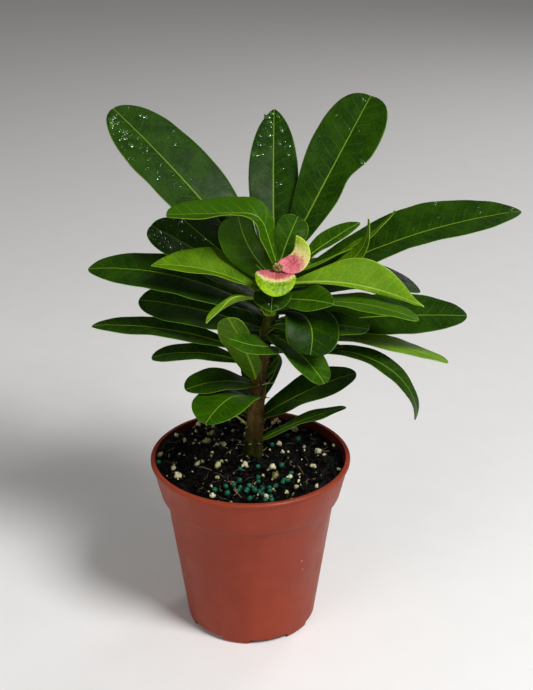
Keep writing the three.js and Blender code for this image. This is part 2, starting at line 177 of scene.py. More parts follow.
# Uneven colour that moulded plastic, bark and grains all have: broad patches and fine specks.
patchy, given, results = new_group(
    "patchy colour",
    {"Place": "Vector", "Dark": "Color", "Light": "Color", "Scale": "Float"},
    {"Color": "Color", "Height": "Float"},
)
broad = cloud(patchy, given["Place"], given["Scale"], 4)
specks = cloud(patchy, given["Place"], maths(patchy, "MULTIPLY", given["Scale"], 7), 3)
fine_share = maths(patchy, "MULTIPLY", specks, 0.35)
patches = maths(patchy, "ADD", maths(patchy, "MULTIPLY", broad, 0.65), fine_share)
blend = mixed(patchy, eased(patchy, patches, 0.35, 0.65), given["Dark"], given["Light"])
patchy.links.new(blend, results["Color"])
patchy.links.new(patches, results["Height"])


def two_tone(tree, place, dark, light, scale):
    """The patchy colour between two paints: its Color and Height."""
    shades = {"Dark": paint(dark), "Light": paint(light)}
    return use_group(tree, patchy, {"Place": place, "Scale": scale} | shades)


def pot_plastic(name, dark, light, scuff, roughness):
    """Satin plastic with faint mottling, fine mould grain and a few pale scuffs."""
    material, tree, shader = new_material(name, Specular_IOR_Level=0.15)
    place = own_place(tree)
    colour = two_tone(tree, place, dark, light, 18)
    rub = maths(tree, "MULTIPLY", eased(tree, cloud(tree, place, 75, 6, 0.7), 0.68, 0.8), 0.2)
    marks = add_node(tree, "TexVoronoi", {"Vector": place, "Scale": 38}).outputs["Distance"]
    chips = eased(tree, marks, 0.035, 0.02)
    worn = maths(tree, "MAXIMUM", rub, maths(tree, "MULTIPLY", chips, 0.8))
    tree.links.new(mixed(tree, worn, colour["Color"], paint(scuff)), shader["Base Color"])
    grain = cloud(tree, place, 900, 2)
    wipes = cloud(tree, place, 45, 5)
    tree.links.new(eased(tree, wipes, 0.3, 0.7, roughness - 0.06, roughness + 0.08), shader["Roughness"])
    texture = maths(tree, "ADD", grain, maths(tree, "MULTIPLY", wipes, 0.8))
    tree.links.new(bumped(tree, texture, 0.12, 0.0006), shader["Normal"])
    return material


bm = turned_body(POT_PROFILE, 128)
# The second material is the same plastic in darker browns: painted shade inside the pot.
pot = finished_piece(
    "nursery_pot", bm,
    [pot_plastic("pot plastic", "#863420", "#933b25", "#bd8068", 0.42),
     pot_plastic("pot plastic painted shade inside", "#3c0f07", "#4e170b", "#6a3424", 0.55)],
    ["pot"],
)
for i in range(DRAINS):
    turn = Matrix.Rotation(math.radians(FIRST_DRAIN_TURN + 360 * i / DRAINS), 4, "Z")
    bm = bmesh.new()
    notch = turn @ Matrix.Translation((NOTCH_CIRCLE, 0, 0)) @ Matrix.Diagonal((*NOTCH_SIZE, 1))
    bmesh.ops.create_cube(bm, size=1, matrix=notch)
    hole = turn @ Matrix.Translation((HOLE_CIRCLE, 0, 0))
    bmesh.ops.create_cone(bm, cap_ends=True, segments=32, radius1=HOLE_RADIUS, radius2=HOLE_RADIUS,
                          depth=20, matrix=hole)
    bmesh.ops.scale(bm, vec=(0.001, 0.001, 0.001), verts=bm.verts)
    cutter = bpy.data.objects.new("drain_cutter", bpy.data.meshes.new("drain_cutter"))
    bm.to_mesh(cutter.data)
    bm.free()
    bpy.context.collection.objects.link(cutter)
    cut_away(pot, cutter)
# Inward faces above the foot, and the floor's top, take the darker plastic as painted shade.
for face in pot.data.polygons:
    inward = face.normal.x * face.center.x + face.normal.y * face.center.y < 0
    floor_top = face.center.z < FLOOR_TOP_BELOW / 1000 and face.normal.z > 0.5
    face.material_index = int(face.center.z > PAINTED_SHADE_FROM / 1000 and (inward or floor_top))
pot.data.shade_smooth()
edges = pot.modifiers.new("moulded edges", "BEVEL")
edges.width = POT_ROUNDING / 1000
edges.segments = 2
edges.limit_method = "ANGLE"
edges.angle_limit = math.radians(25)
edges.harden_normals = True


# Potting mix: dark peat and bark crumbs that fill the pot to 3 mm under the lip, uneven by about a
# millimetre, with white perlite, green fertiliser beads and pale root fibres lying in the surface.
SOIL_LEVEL = 98
SOIL_RADIUS = 52.2
SOIL_SIDE = [(SOIL_RADIUS, SOIL_LEVEL), (47.9, 81.2), (44.4, 76), (34.3, 7.9), (32.4, 5.3), (0, 5.3)]
SOIL_RINGS = 80
CRUMBS = 700
SCATTER_REACH = 50
STEM_PLACE = (1.2, 8)
STEM_ROOM = 7


def soil_height(x, y):
    bumps = math.sin(0.31 * x + 1) * math.cos(0.27 * y) + math.sin(0.17 * x - 0.23 * y + 2)
    return SOIL_LEVEL + 0.7 * bumps - 0.02 * x


def soil_spot(dice, reach=SCATTER_REACH):
    """A random place on the soil, clear of the stem."""
    while True:
        place = dice.uniform(-reach, reach), dice.uniform(-reach, reach)
        if math.hypot(*place) < reach and math.dist(place, STEM_PLACE) > STEM_ROOM:
            return place


def crowded_spot(dice, x, y, spread):
    """A random place close to a given one, and inside the pot."""
    while True:
        near = dice.gauss(x, spread), dice.gauss(y, spread * 0.6)
        if math.hypot(*near) < SCATTER_REACH:
            return near


def add_lump(bm, dice, x, y, size, squash, lift, detail, unevenness):
    """One lump on the soil: a small ball, flattened, turned and made uneven."""
    sunk = soil_height(x, y) + lift * size
    turn = Euler([dice.uniform(0, 6) for _ in range(3)]).to_matrix().to_4x4()
    made = bmesh.ops.create_icosphere(bm, subdivisions=detail, radius=1)["verts"]
    offset = Vector([dice.uniform(0, 90) for _ in range(3)])
    stretch = Matrix.Diagonal((size, size * dice.uniform(0.7, 1), size * squash, 1))
    for vert in made:
        vert.co *= 1 + unevenness * noise.noise(vert.co * 1.3 + offset)
    bmesh.ops.transform(bm, matrix=Matrix.Translation((x, y, sunk)) @ turn @ stretch, verts=made)
    return made


soil_top = [(SOIL_RADIUS * i / SOIL_RINGS, SOIL_LEVEL) for i in range(SOIL_RINGS)]
bm = turned_body(soil_top + SOIL_SIDE, 240)
for vert in bm.verts:
    if vert.co.z > SOIL_LEVEL - 1:
        x, y, _ = vert.co
        place = Vector((x, y, 0))
        clods = noise.turbulence(place * 0.16, 3, False) - 0.5
        crumbs = noise.turbulence(place * 0.55 + Vector((7, 3, 1)), 3, True) - 0.5
        edge = min(1, (SOIL_RADIUS - math.hypot(x, y)) / 1.5)
        vert.co.z = soil_height(x, y) + edge * (1.5 * clods + 1.3 * crumbs) - 0.6
potting_mix, tree, shader = new_material("potting mix", Roughness=0.5, Specular_IOR_Level=0.1)
place = own_place(tree)
peat = two_tone(tree, place, "#010101", "#080503", 260)
tree.links.new(peat["Color"], shader["Base Color"])
tree.links.new(bumped(tree, peat["Height"], 0.9, 0.0012), shader["Normal"])
finished_piece("potting_mix", bm, [potting_mix], ["soil"])

# Loose crumbs of bark and peat, of the same stuff as the mix, on its surface.
dice = random.Random(11)
bm = bmesh.new()
for _ in range(CRUMBS):
    add_lump(bm, dice, *soil_spot(dice), dice.uniform(0.4, 1.5), dice.uniform(0.4, 0.8), 0.1, 1, 0.5)
finished_piece("bark_crumbs", bm, [potting_mix])

# Perlite: popped white volcanic glass in knobbly lumps, cream to olive where peat has stained it. The
# larger lumps are placed one by one, by x, y, radius and how stained they are, and the crumbs by chance.
PERLITE_LUMPS = [
    (26, 36, 2.4, 0), (22, 39, 1.6, 0), (15, 46, 1.7, 0), (13, 42, 1.5, 0), (17, 43, 1.3, 0),
    (16, 15, 2.0, 0), (18, 8, 1.3, 0), (38, 8, 2.2, 0.1), (41, 3, 1.2, 0.2), (34, -9, 2.0, 0.1),
    (21, -21, 1.9, 0), (12, -12, 2.2, 0), (13, -20, 2.6, 0.9), (-3, -8, 2.2, 0), (-39, -22, 2.6, 0.1),
    (-42, -11, 1.6, 0.2), (-29, -6, 2.0, 0.5), (-18, -9, 2.2, 0.6), (-18, -22, 1.5, 0.5),
    (-15, 15, 1.9, 0.8), (-25, 20, 2.1, 0.8), (-37, 20, 1.5, 0.4), (-22, 30, 2.0, 0.9),
    (-42, 24, 1.6, 0), (-10, 32, 1.4, 0.1), (-30, 38, 1.8, 0.3), (-50, 4, 1.7, 0),
    (24, -31, 1.6, 0.6), (35, -31, 1.5, 0), (8, -42, 1.8, 0.2), (-20, -43, 1.8, 0), (-9, -31, 1.5, 0.4),
    (47, 16, 1.2, 0.1), (48, -12, 1.3, 0.8), (19, -37, 1.4, 0.1), (30, 14, 1.2, 0.3), (4, 36, 1.4, 0.2),
]
PERLITE_CRUMBS = 150
KNOBBY_FROM = 1.2
material, tree, shader = new_material("perlite", Roughness=0.7, Specular_IOR_Level=0.2)
place = own_place(tree)
stain = add_node(tree, "Attribute", attribute_name="stain").outputs["Fac"]
grains = two_tone(tree, place, "#9a9468", "#e2dbb6", 420)
stained = two_tone(tree, place, "#3a3b14", "#8d9048", 420)
tree.links.new(mixed(tree, stain, grains["Color"], stained["Color"]), shader["Base Color"])
tree.links.new(bumped(tree, grains["Height"], 0.6, 0.0006), shader["Normal"])
bm = bmesh.new()
staining = bm.verts.layers.float.new("stain")
lumps = list(PERLITE_LUMPS)
for _ in range(PERLITE_CRUMBS):
    lumps.append((*soil_spot(dice), 0.3 + 0.9 * dice.random() ** 2, dice.random()))
for x, y, size, shade in lumps:
    knobs = 3 if size > KNOBBY_FROM else 1
    for k in range(knobs):
        aside = 0.55 * size * (k > 0)
        near = x + dice.uniform(-aside, aside), y + dice.uniform(-aside, aside)
        knob = size * (0.85 if k == 0 else dice.uniform(0.4, 0.65))
        for vert in add_lump(bm, dice, *near, knob, dice.uniform(0.65, 0.95), 0.5, 2, 0.8):
            vert[staining] = shade
finished_piece("perlite", bm, [material])

# Slow-release fertiliser: round green beads of resin-coated salts, spread by hand on the finished mix,
# most of them in front of the stem. Each crowd is a place and how far its beads have rolled.
BEADS = 30
BEAD_CROWDS = [(2, -31, 8), (2, -33, 10), (-8, -33, 10), (14, -28, 6), (5, -40, 9)]
LONE_BEADS = [
    (21, 25), (27, 21), (12, 13), (17, -9), (22, -16), (4, -8), (-50, -8), (20, -24), (-19, -35),
]
SMALLEST_BEAD = 1.3
LARGEST_BEAD = 1.7
material, tree, shader = new_material("fertiliser bead", Roughness=0.45, Specular_IOR_Level=0.3)
place = own_place(tree)
resin = two_tone(tree, place, "#003424", "#016244", 300)
tree.links.new(resin["Color"], shader["Base Color"])
tree.links.new(bumped(tree, resin["Height"], 0.2, 0.0004), shader["Normal"])
bm = bmesh.new()
beads = LONE_BEADS + [crowded_spot(dice, *dice.choice(BEAD_CROWDS)) for _ in range(BEADS)]
for x, y in beads:
    add_lump(bm, dice, x, y, dice.uniform(SMALLEST_BEAD, LARGEST_BEAD), 0.95, 0.5, 3, 0.06)
finished_piece("fertiliser_beads", bm, [material])


# Root fibres and bark slivers: fine pale threads of the old root ball that lie over the crumbs, each
# a bent strand that thins toward its end.
FIBRES = 46
FIBRE_STEPS = 7
FIBRE_STEP = 1.3
FIBRE_WIDTHS = [0.12, 0.16, 0.22, 0.4]


def add_strand(bm, path, widths, sides=6):
    """A round strand along a path, with its half-width at each point, closed at both ends."""
    for i, (point, width) in enumerate(zip(path, widths)):
        ahead = path[min(i + 1, len(path) - 1)] - path[max(i - 1, 0)]
        turn = ahead.to_track_quat("Z", "Y").to_matrix().to_4x4()
        aim = Matrix.Translation(point) @ turn @ Matrix.Scale(width, 4)
        if i == 0:
            ring = bmesh.ops.create_circle(bm, segments=sides, radius=1, matrix=aim)["verts"]
            first = rim = list({edge for vert in ring for edge in vert.link_edges})
        else:
            made = bmesh.ops.extrude_edge_only(bm, edges=rim)["geom"]
            ring = [part for part in made if isinstance(part, bmesh.types.BMVert)]
            edges = [part for part in made if isinstance(part, bmesh.types.BMEdge)]
            rim = [edge for edge in edges if all(vert in ring for vert in edge.verts)]
            bmesh.ops.transform(bm, matrix=aim @ last.inverted(), verts=ring)
        last = aim
    bmesh.ops.holes_fill(bm, edges=first + rim, sides=sides)


material, tree, shader = new_material("root fibre", Roughness=0.8)
place = own_place(tree)
fibre = two_tone(tree, place, "#1d150c", "#7d6c4d", 150)
tree.links.new(fibre["Color"], shader["Base Color"])
tree.links.new(bumped(tree, fibre["Height"], 0.4, 0.0003), shader["Normal"])
bm = bmesh.new()
for _ in range(FIBRES):
    x, y = soil_spot(dice, SCATTER_REACH - 3)
    course = dice.uniform(0, 6.28)
    path = []
    for i in range(FIBRE_STEPS):
        path.append(Vector((x, y, soil_height(x, y) + 0.7 + 0.5 * math.sin(i + course))))
        course += dice.gauss(0, 0.4)
        x += FIBRE_STEP * math.cos(course)
        y += FIBRE_STEP * math.sin(course)
    thick = dice.choice(FIBRE_WIDTHS)
    add_strand(bm, path, [thick * (1 - 0.1 * i) for i in range(FIBRE_STEPS)], 5)
bmesh.ops.recalc_face_normals(bm, faces=bm.faces)
finished_piece("root_fibres", bm, [material])


# Stem: one woody shoot, olive and corky low down and green near the top, rooted in the mix. Every
# leaf that has dropped left a raised scar, with a pair of thin spines beside it.
STEM_FOOT = 62
STEM_TOP = 214
STEM_RINGS = 190
LEAN_FROM = 95
BASE_RADIUS = 5.6
TOP_RADIUS = 2.5
FIRST_SCAR = 97
SCAR_SPACING = 4.6
SCAR_TURN = 137.5
SPINE_PAIRS = 25
SPINE_LENGTH = 4.5


def stem_axis(z):
    """Middle line of the stem: it leans to the right, more so toward the top, and a little forward."""
    rise = z - LEAN_FROM
    x, y = STEM_PLACE
    return Vector((x + 0.05 * rise + 0.0006 * rise ** 2, y - 0.06 * rise, z))


def stem_radius(z):
    share = min(1, max(0, (z - LEAN_FROM) / (STEM_TOP - LEAN_FROM)))
    buried = min(1, max(0, (LEAN_FROM - z) / (LEAN_FROM - STEM_FOOT)))
    return (BASE_RADIUS + (TOP_RADIUS - BASE_RADIUS) * share ** 0.7) * (1 - 0.35 * buried)


def leaf_scar(z, angle):
    """How far a point of the bark stands out for the leaf scars round it, in millimetres."""
    out = 0
    nearest = round((z - FIRST_SCAR) / SCAR_SPACING)
    for k in range(max(0, nearest - 2), nearest + 3):
        up = z - FIRST_SCAR - SCAR_SPACING * k
        round_by = math.remainder(angle - math.radians(SCAR_TURN * k), math.tau) * stem_radius(z)
        out += 0.75 * math.exp(-(round_by / 2.4) ** 2 - (up / 1.7) ** 2)
        out -= 0.55 * math.exp(-(round_by / 1.0) ** 2 - (up / 0.7) ** 2)
    return out


outline = [(0, STEM_FOOT)]
for i in range(STEM_RINGS):
    z = STEM_FOOT + (STEM_TOP - STEM_FOOT) * i / (STEM_RINGS - 1)
    outline.append((stem_radius(z), z))
outline.append((0, STEM_TOP))
bm = turned_body(outline, 56)
for vert in bm.verts:
    radius = math.hypot(vert.co.x, vert.co.y)
    z = vert.co.z
    if radius > 0.1 and z > 90:
        angle = math.atan2(vert.co.y, vert.co.x)
        woody = max(0.25, 1 - (z - LEAN_FROM) / 90)
        cracks = noise.noise(Vector((vert.co.x * 0.9, vert.co.y * 0.9, z * 0.16)))
        knobs = noise.noise(Vector((vert.co.x * 0.3, vert.co.y * 0.3, z * 0.25 + 9)))
        out = 0.8 * leaf_scar(z, angle) + woody * (0.45 * cracks + 0.5 * knobs)
        vert.co.xy *= (radius + out) / radius
    middle = stem_axis(z)
    vert.co.x += middle.x
    vert.co.y += middle.y
bark, tree, shader = new_material("stem bark", Roughness=0.6, Specular_IOR_Level=0.15)
place = own_place(tree)
height = add_node(tree, "SeparateXYZ", {0: place}).outputs["Z"]
stretched = add_node(tree, "Mapping", {"Vector": place, "Scale": (1, 1, 0.25)}).outputs[0]
corky = two_tone(tree, stretched, "#2a1a06", "#80602c", 260)
green = two_tone(tree, stretched, "#2b3606", "#5c6c14", 180)
olive = two_tone(tree, stretched, "#141602", "#3c3e0c", 240)
patches = cloud(tree, place, 120, 4)
colour = mixed(tree, eased(tree, height, 0.106, 0.13), olive["Color"], corky["Color"])
greening = maths(tree, "ADD", height, maths(tree, "MULTIPLY", patches, 0.04))
colour = mixed(tree, eased(tree, greening, 0.165, 0.2), colour, green["Color"])
rusty = maths(tree, "MULTIPLY", eased(tree, cloud(tree, place, 95, 2), 0.55, 0.68), 0.6)
colour = mixed(tree, rusty, colour, paint("#4a2410"))
tree.links.new(colour, shader["Base Color"])
tree.links.new(bumped(tree, corky["Height"], 1.0, 0.0016), shader["Normal"])
finished_piece("stem", bm, [bark], ["stem"])

# Spines: hard grey-brown horn, in pairs that curve out beside the leaf scars and taper to a point.
# They grow from the bark, so the foot of each is sunk in it.
dice = random.Random(5)
material, tree, shader = new_material("spine", Roughness=0.45)
place = own_place(tree)
horn = two_tone(tree, place, "#5b3a2a", "#a89a78", 200)
tree.links.new(horn["Color"], shader["Base Color"])
tree.links.new(bumped(tree, horn["Height"], 0.2, 0.0002), shader["Normal"])
bm = bmesh.new()
for k in range(SPINE_PAIRS):
    for side in (-1, 1):
        z = FIRST_SCAR + SCAR_SPACING * k + dice.uniform(-0.6, 0.6)
        turn = math.radians(SCAR_TURN * k) + side * 1.9 / stem_radius(z)
        out = Vector((math.cos(turn), math.sin(turn), 0))
        foot = stem_axis(z) + out * (stem_radius(z) - 0.4)
        length = SPINE_LENGTH * dice.uniform(0.5, 1.1)
        lean = Vector((-math.sin(turn), math.cos(turn), 0)) * side * 0.35
        lean.z = dice.uniform(0, 0.4)
        path = [foot + (out + lean * s) * length * s for s in (0, 0.15, 0.4, 0.7, 1)]
        add_strand(bm, path, [0.75, 0.42, 0.26, 0.16, 0.04], 6)
bmesh.ops.recalc_face_normals(bm, faces=bm.faces)
finished_piece("spines", bm, [material])

# Young spines: soft, pale and longer, on the green shoot tip and round the flower, and the stalk of a
# leaf that has dropped. Each spine is given by its foot in the stem and its tip.
YOUNG_SPINES = [
    ((16, -2, 212), (30, -4, 222)), ((14, 1, 210), (32, -2, 214)), ((9, 1, 176), (17, -4, 181)),
    ((9, 1, 173), (15, -4, 179)), ((8, 0, 172), (12, -5, 178)), ((8, 0, 170), (16, -4, 174)),
    ((5, 2, 142), (14, -3, 146)), ((10, 3, 190), (4, -8, 193)), ((11, 3, 203), (3, -4, 214)),
]
OLD_STALK = [(-1.6, 6, 116), (-4, 5, 119), (-7, 4.2, 122), (-10, 3.5, 124)]
material, tree, shader = new_material("young spine", Roughness=0.5)
place = own_place(tree)
horn = two_tone(tree, place, "#6c7a22", "#c4ce80", 300)
tree.links.new(horn["Color"], shader["Base Color"])
tree.links.new(bumped(tree, horn["Height"], 0.2, 0.0002), shader["Normal"])
bm = bmesh.new()
for foot, tip in YOUNG_SPINES:
    path = []
    for s in (0, 0.3, 0.6, 0.85, 1):
        path.append(Vector(foot).lerp(Vector(tip), s) + Vector((0, 0, 0.5 * math.sin(3 * s))))
    add_strand(bm, path, [0.32, 0.28, 0.22, 0.14, 0.04], 6)
add_strand(bm, [Vector(point) for point in OLD_STALK], [0.8, 0.65, 0.6, 0.5], 8)
bmesh.ops.recalc_face_normals(bm, faces=bm.faces)
finished_piece("young_spines", bm, [material])


# Leaves: thick, glossy, paddle-shaped blades on short stalks, dark and leathery when mature, paler
# and softer when young. Each is one piece that grows out of the stem. The rows give the height on
# the stem, the turn round it (degrees from the right, 270 is the front), the rise at the foot, the
# droop added by the tip, length and width; where they differ from the plain leaf, also the bend
# (how late the droop comes), sway (turn added by the tip), roll about the rib and twist added by
# the tip, fold of the halves, wave and waves of the margin, where it is widest, how blunt the tip
# is, the lobe at the foot, the tone, and a tint toward its lighter green. A crest gives the shares
# of the length between which the droop and twist come. A nick gives the half that is drawn in, the
# middle of that, its spread and its depth.
PLAIN_LEAF = dict(
    bend=1, sway=0, roll=0, twist=0, fold=12, wave=0.8, waves=2, phase=0, widest=0.62, blunt=0.55,
    lobe=0, nick=None, crest=None, tone="mature", tint=0,
)
LEAVES = dict(
    back_left=dict(
        height=197, turn=152, rise=48.5, droop=13, length=129, width=44, roll=-18, widest=0.65,
        blunt=0.5,
    ),
    back_middle=dict(
        height=201.5, turn=92, rise=56, droop=12, length=100, width=27, sway=-5, widest=0.58,
        blunt=0.7, tint=-0.1,
    ),
    back_right=dict(
        height=204.5, turn=40, rise=54, droop=12, length=112, width=36, sway=12, roll=16,
        widest=0.74, blunt=0.4, nick=(-1, 0.56, 0.09, 0.25),
    ),
    arched_left=dict(
        height=209, turn=184, rise=74, droop=74, crest=(0.28, 0.52), length=78, width=32,
        roll=-35, twist=33, fold=22, widest=0.6, blunt=0.4, nick=(-1, 0.12, 0.3, 0.7),
        tone="young", tint=-0.35,
    ),
    upper_left_inner=dict(
        height=204, turn=181, rise=40, droop=-42, length=41, width=26, roll=-85, fold=8,
        widest=0.7, blunt=0.35, nick=(-1, 0.65, 0.5, 0.5), tone="middle", tint=0.25,
    ),
    upper_right_inner=dict(
        height=208.6, turn=40, rise=68, droop=12, length=30, width=18, roll=28, widest=0.75,
        blunt=0.4, tone="middle",
    ),
    canoe_left=dict(
        height=192.1, turn=196, rise=40, droop=36, length=70, width=29, roll=-16, fold=34,
        widest=0.5, blunt=1, nick=(1, 0.1, 0.15, 0.7), tone="young", tint=0.25,
    ),
    left_wet=dict(
        height=189, turn=160, rise=36, droop=16, length=77, width=33, roll=-16, widest=0.68,
        blunt=0.4, tint=0.1,
    ),
    left_long=dict(
        height=183, turn=176, rise=33, droop=38, length=100, width=38, roll=-16, widest=0.55,
        blunt=0.65, nick=(-1, 0.5, 0.5, 0.2),
    ),
    left_under=dict(height=174, turn=169, rise=18, droop=16, length=71, width=32, roll=-20),
    curled_left=dict(
        height=190.8, turn=217, rise=33, droop=70, length=45, width=11, roll=20, fold=40,
        widest=0.7, blunt=0.8, tone="pale",
    ),
    left_narrow=dict(
        height=157.4, turn=178, rise=26, droop=30, length=94, width=17, roll=-16, blunt=0.7,
    ),
    left_low=dict(
        height=150, turn=177, rise=29, droop=46, length=61, width=16, roll=-14, widest=0.7,
    ),
    low_left_back=dict(height=139.8, turn=207, rise=30, droop=40, length=45, width=24, roll=-8),
    low_left_front=dict(
        height=129.2, turn=240, rise=49, droop=74, length=58, width=32, widest=0.67,
        tone="middle",
    ),
    rising_front=dict(
        height=139.5, turn=246, rise=65, droop=8, length=58, width=24, sway=-18, roll=26,
        fold=16, widest=0.67, blunt=0.5, nick=(1, 0.6, 0.4, 0.55), tone="young", tint=-0.3,
    ),
    front_left_small=dict(
        height=164.5, turn=300, rise=22, droop=0, length=46, width=17, sway=-126, roll=-25,
        widest=0.6, blunt=0.6, tone="middle",
    ),
    front_cup=dict(
        height=197.7, turn=266, rise=12, droop=32, length=26, width=20, widest=0.55, blunt=0.65,
    ),
    front_pale=dict(
        height=189.2, turn=258, rise=8, droop=30, length=12, width=9, roll=-30, tone="pale",
    ),
    front_right_round=dict(
        height=181, turn=350, rise=39, droop=95, length=50, width=28, sway=-100, widest=0.74,
        blunt=0.35, tone="mature", tint=-0.1,
    ),
    front_right_olive=dict(
        height=191.4, turn=317, rise=20.3, droop=16, length=43, width=19, roll=24, blunt=0.8,
        tone="middle",
    ),
    right_small=dict(
        height=177, turn=336, rise=14, droop=14, length=57, width=20, roll=12, blunt=0.35,
        tone="middle", tint=0.2,
    ),
    right_long=dict(height=174, turn=354, rise=13.5, droop=14, length=106, width=29, roll=26),
    right_arched=dict(
        height=183.5, turn=333, rise=30, droop=44, length=86, width=21, tone="middle", tint=0.4,
    ),
    right_pale=dict(
        height=200, turn=338, rise=19.5, droop=39, length=82, width=28, roll=44, twist=30,
        fold=10, widest=0.58, blunt=1.8, nick=(-1, 0.5, 0.8, 0.85), tone="pale", tint=-0.1,
    ),
    right_curled=dict(
        height=198.6, turn=354, rise=12, droop=-92, bend=2.2, length=70, width=12, roll=16,
        twist=20, widest=0.5, blunt=1.2, tone="young",
    ),
    right_sprout=dict(
        height=205.0, turn=5, rise=16, droop=-40, bend=2, length=72, width=5.5, tone="young",
    ),
    upper_right_narrow=dict(
        height=200.3, turn=32, rise=32, droop=16, length=60, width=15, roll=14, widest=0.72,
        blunt=0.75, nick=(-1, 0.7, 0.5, 0.55), tone="middle",
    ),
    far_right=dict(
        height=189.8, turn=6, rise=33, droop=28, length=141, width=40, roll=17, fold=14,
        widest=0.6, blunt=0.75, nick=(-1, 0.62, 0.22, 0.42),
    ),
    right_shaded=dict(height=188.3, turn=21, rise=25, droop=55, length=92, width=28, roll=16),
    right_low_narrow=dict(
        height=168, turn=350, rise=12.5, droop=32, length=99, width=17, tone="young", tint=0.6,
    ),
    right_drooping=dict(
        height=160, turn=342, rise=14, droop=110, bend=2.3, length=104, width=15, roll=6,
    ),
    front_right_low=dict(
        height=172.7, turn=311, rise=4, droop=44, length=48, width=21, blunt=0.4, tone="middle",
    ),
    low_right_dark=dict(height=118, turn=8, rise=35, droop=22, length=62, width=27, roll=10),
    low_right_narrow=dict(
        height=103, turn=10, rise=29, droop=20, length=56, width=11, tone="middle",
    ),
    stem_side_small=dict(height=143, turn=354, rise=60, droop=10, length=18, width=9, roll=40),
    stem_side_dark=dict(height=126, turn=20, rise=72, droop=4, length=34, width=14),
    right_brown_tip=dict(
        height=166, turn=343, rise=11, droop=14, length=43, width=10, tone="middle",
    ),
    back_low_left=dict(height=172, turn=128, rise=22, droop=30, length=88, width=30),
    back_low_right=dict(height=179, turn=62, rise=20, droop=30, length=86, width=30),
    back_centre=dict(height=162, turn=95, rise=16, droop=34, length=82, width=29),
    back_foot_left=dict(height=118, turn=120, rise=8, droop=10, length=50, width=25),
    back_foot_right=dict(height=127, turn=85, rise=24, droop=34, length=60, width=24),
)
STALK_WIDTH = 2.4
STALK_THICKNESS = 1.7
STALK_SHARE = 0.06
RIB_THICKNESS = 1.0
MARGIN_THICKNESS = 0.5
RIB_STEPS = 40
RIB_GROOVE = 0.35
QUILTING = 0.3
FRILL = 0.6
RIGHT_MARGIN_PHASE = 1.8
LEAF_ROWS = 44
LEAF_COLUMNS = 16


def half_width(leaf, t, u):
    """Half the width of the blade at a share t of its length, on the side that u is on."""
    t = min(1, max(0, t))
    tip, widest = leaf["blunt"], leaf["widest"]
    foot = tip * widest / (1 - widest)
    blade = (t / widest) ** foot * ((1 - t) / (1 - widest)) ** tip
    if leaf["nick"] and u * leaf["nick"][0] > 0:
        _, centre, spread, depth = leaf["nick"]
        blade *= 1 - depth * math.exp(-(((t - centre) / spread) ** 2))
    return max(leaf["width"] / 2 * blade, STALK_WIDTH / 2 * min(1, (1 - t) * 20))


def leaf_surface(leaf):
    """The leaf's middle surface: t runs along the rib, u from the right margin (-1) to the left (1)."""
    rib = [leaf["foot"] if "foot" in leaf else stem_axis(leaf["height"])]

    def heading(t):
        bent = max(t, 0) ** leaf["bend"]
        turned = t
        if leaf["crest"]:
            start, end = leaf["crest"]
            share = min(1, max(0, (t - start) / (end - start)))
            bent = turned = share * share * (3 - 2 * share)
        rise = leaf["rise"] - leaf["droop"] * bent
        turn = leaf["turn"] + leaf["sway"] * t
        roll = leaf["roll"] + leaf["twist"] * turned
        return math.radians(rise), math.radians(turn), math.radians(roll)

    for i in range(RIB_STEPS):
        rise, turn, roll = heading((i + 0.5) / RIB_STEPS)
        level = math.cos(rise)
        ahead = Vector((level * math.cos(turn), level * math.sin(turn), math.sin(rise)))
        rib.append(rib[i] + ahead * leaf["length"] / RIB_STEPS)

    def surface(t, u):
        place = (t - leaf["lobe"] * abs(u) ** 1.5 * (1 - t)) * RIB_STEPS
        i = min(RIB_STEPS - 1, max(0, math.floor(place)))
        point = rib[i].lerp(rib[i + 1], place - i)
        rise, turn, roll = heading(t)
        side = Vector((-math.sin(turn), math.cos(turn), 0))
        back = -math.sin(rise)
        over = Vector((back * math.cos(turn), back * math.sin(turn), math.cos(rise)))
        across = side * math.cos(roll) + over * math.sin(roll)
        normal = over * math.cos(roll) - side * math.sin(roll)
        fold = math.radians(leaf["fold"] * (1 - 0.5 * t))
        half = half_width(leaf, t, u)
        phase = leaf["phase"] + (0 if u > 0 else RIGHT_MARGIN_PHASE)
        ripple = math.sin(math.tau * leaf["waves"] * t + phase)
        lift = half * abs(u) * math.sin(fold) + leaf["wave"] * ripple * u * u * math.sin(math.pi * t)
        return point + across * half * u * math.cos(fold) + normal * lift, normal

    return surface


